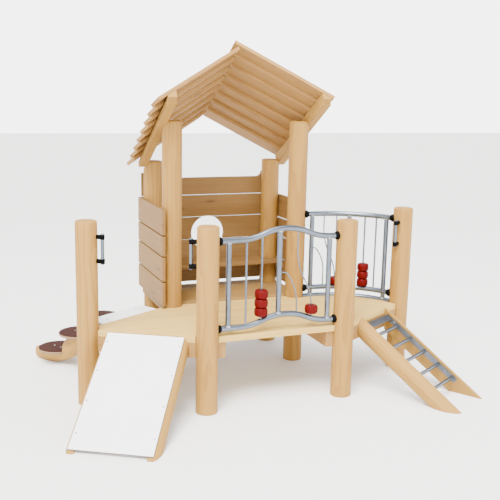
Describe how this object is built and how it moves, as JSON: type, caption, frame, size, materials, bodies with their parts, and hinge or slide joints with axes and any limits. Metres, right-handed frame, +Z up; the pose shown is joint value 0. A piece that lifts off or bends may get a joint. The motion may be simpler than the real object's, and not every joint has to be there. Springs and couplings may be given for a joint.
{
  "type": "playground climbing unit",
  "caption": "Toddler play house on a low hexagonal timber deck, with ramp, rung ladder, log stair, steel bead railings and grab bars.",
  "frame": {"origin": "on the ground under the middle of the whole outline", "axes": "+Z up, +X along the front railing towards the ladder, +Y from the front railing towards the play house"},
  "size_m": [2.8021, 2.1758, 2.3676],
  "materials": {
    "post_wood": "turned round timber, satin, faint grain",
    "frame_wood": "planed timber",
    "deck_wood": "pale planed pine boards",
    "floor_wood": "planed boards in shade",
    "wall_wood": "sawn planks",
    "roof_wood": "lapped sawn boards",
    "eave_wood": "planed beam",
    "log_wood": "round timber, sawn faces",
    "steel": "satin stainless tube",
    "black_plastic": "moulded",
    "white_panel": "smooth compact laminate with a dark core edge",
    "brown_panel": "compact laminate, dark brown faces",
    "red_bead": "moulded, glossy",
    "screw_steel": "dome heads"
  },
  "bodies": {
    "frame": {"post_left_tip": "post_wood", "post_front_left": "post_wood", "post_front_right": "post_wood", "post_right_tip": "post_wood", "post_house_left": "post_wood", "post_house_right": "post_wood", "post_rear_left": "post_wood", "post_rear_right": "post_wood", "joists": "frame_wood", "beam_ramp": "frame_wood", "beam_ladder": "frame_wood", "beam_side": "frame_wood", "beam_stair": "frame_wood", "deck_planks": "deck_wood", "floor_planks": "floor_wood", "wall_left": "wall_wood", "wall_right": "wall_wood", "wall_batten": "frame_wood", "wall_rear": "wall_wood", "wall_rear_top": "wall_wood", "bench_seat": "wall_wood", "bench_cleats": "frame_wood", "roof_left": "roof_wood", "roof_right": "roof_wood", "eaves": "eave_wood", "front_rail_top": "steel", "front_rail_low": "steel", "front_uprights": "steel", "front_bars": "steel", "front_wires": "steel", "front_sockets": "black_plastic", "side_rail_top": "steel", "side_rail_low": "steel", "side_rail_toe": "steel", "side_uprights": "steel", "side_bars": "steel", "side_wires": "steel", "side_sockets": "black_plastic", "ramp_panel": "white_panel", "ramp_log_left": "log_wood", "ramp_log_right": "log_wood", "ladder_log_left": "log_wood", "ladder_log_right": "log_wood", "ladder_strips": "steel", "ladder_rungs": "steel", "stair_log": "log_wood", "stair_treads": "brown_panel", "entry_plate": "white_panel", "entry_bearers": "frame_wood", "grab_bars": "steel", "grab_feet": "black_plastic", "screw_heads": "screw_steel"},
    "front_bead_low": {"front_bead_low": "red_bead"},
    "front_bead_mid": {"front_bead_mid": "red_bead"},
    "front_bead_high": {"front_bead_high": "red_bead"},
    "front_bead_wave": {"front_bead_wave": "red_bead"},
    "side_bead_low": {"side_bead_low": "red_bead"},
    "side_bead_mid": {"side_bead_mid": "red_bead"},
    "side_bead_high": {"side_bead_high": "red_bead"},
    "side_bead_wave": {"side_bead_wave": "red_bead"}
  },
  "joints": [
    {"name": "front_bead_low_slide", "type": "slide", "parent": "frame", "child": "front_bead_low", "axis": [0, 0, 1], "range_m": [0, 0.106]},
    {"name": "front_bead_mid_slide", "type": "slide", "parent": "front_bead_low", "child": "front_bead_mid", "axis": [0, 0, 1], "range_m": [0, 0.106]},
    {"name": "front_bead_high_slide", "type": "slide", "parent": "front_bead_mid", "child": "front_bead_high", "axis": [0, 0, 1], "range_m": [0, 0.106]},
    {"name": "side_bead_low_slide", "type": "slide", "parent": "frame", "child": "side_bead_low", "axis": [0, 0, 1], "range_m": [0, 0.115]},
    {"name": "side_bead_mid_slide", "type": "slide", "parent": "side_bead_low", "child": "side_bead_mid", "axis": [0, 0, 1], "range_m": [0, 0.115]},
    {"name": "side_bead_high_slide", "type": "slide", "parent": "side_bead_mid", "child": "side_bead_high", "axis": [0, 0, 1], "range_m": [0, 0.115]},
    {"name": "front_bead_wave_swing", "type": "hinge", "parent": "frame", "child": "front_bead_wave", "pos_m": [-0.13699, -0.4992, 0.62591], "axis": [0, -1, 0], "range_deg": [0, 24]},
    {"name": "side_bead_wave_swing", "type": "hinge", "parent": "frame", "child": "side_bead_wave", "pos_m": [0.36332, 0.35765, 0.6133], "axis": [-0.277, -0.9609, 0], "range_deg": [0, 21]}
  ]
}
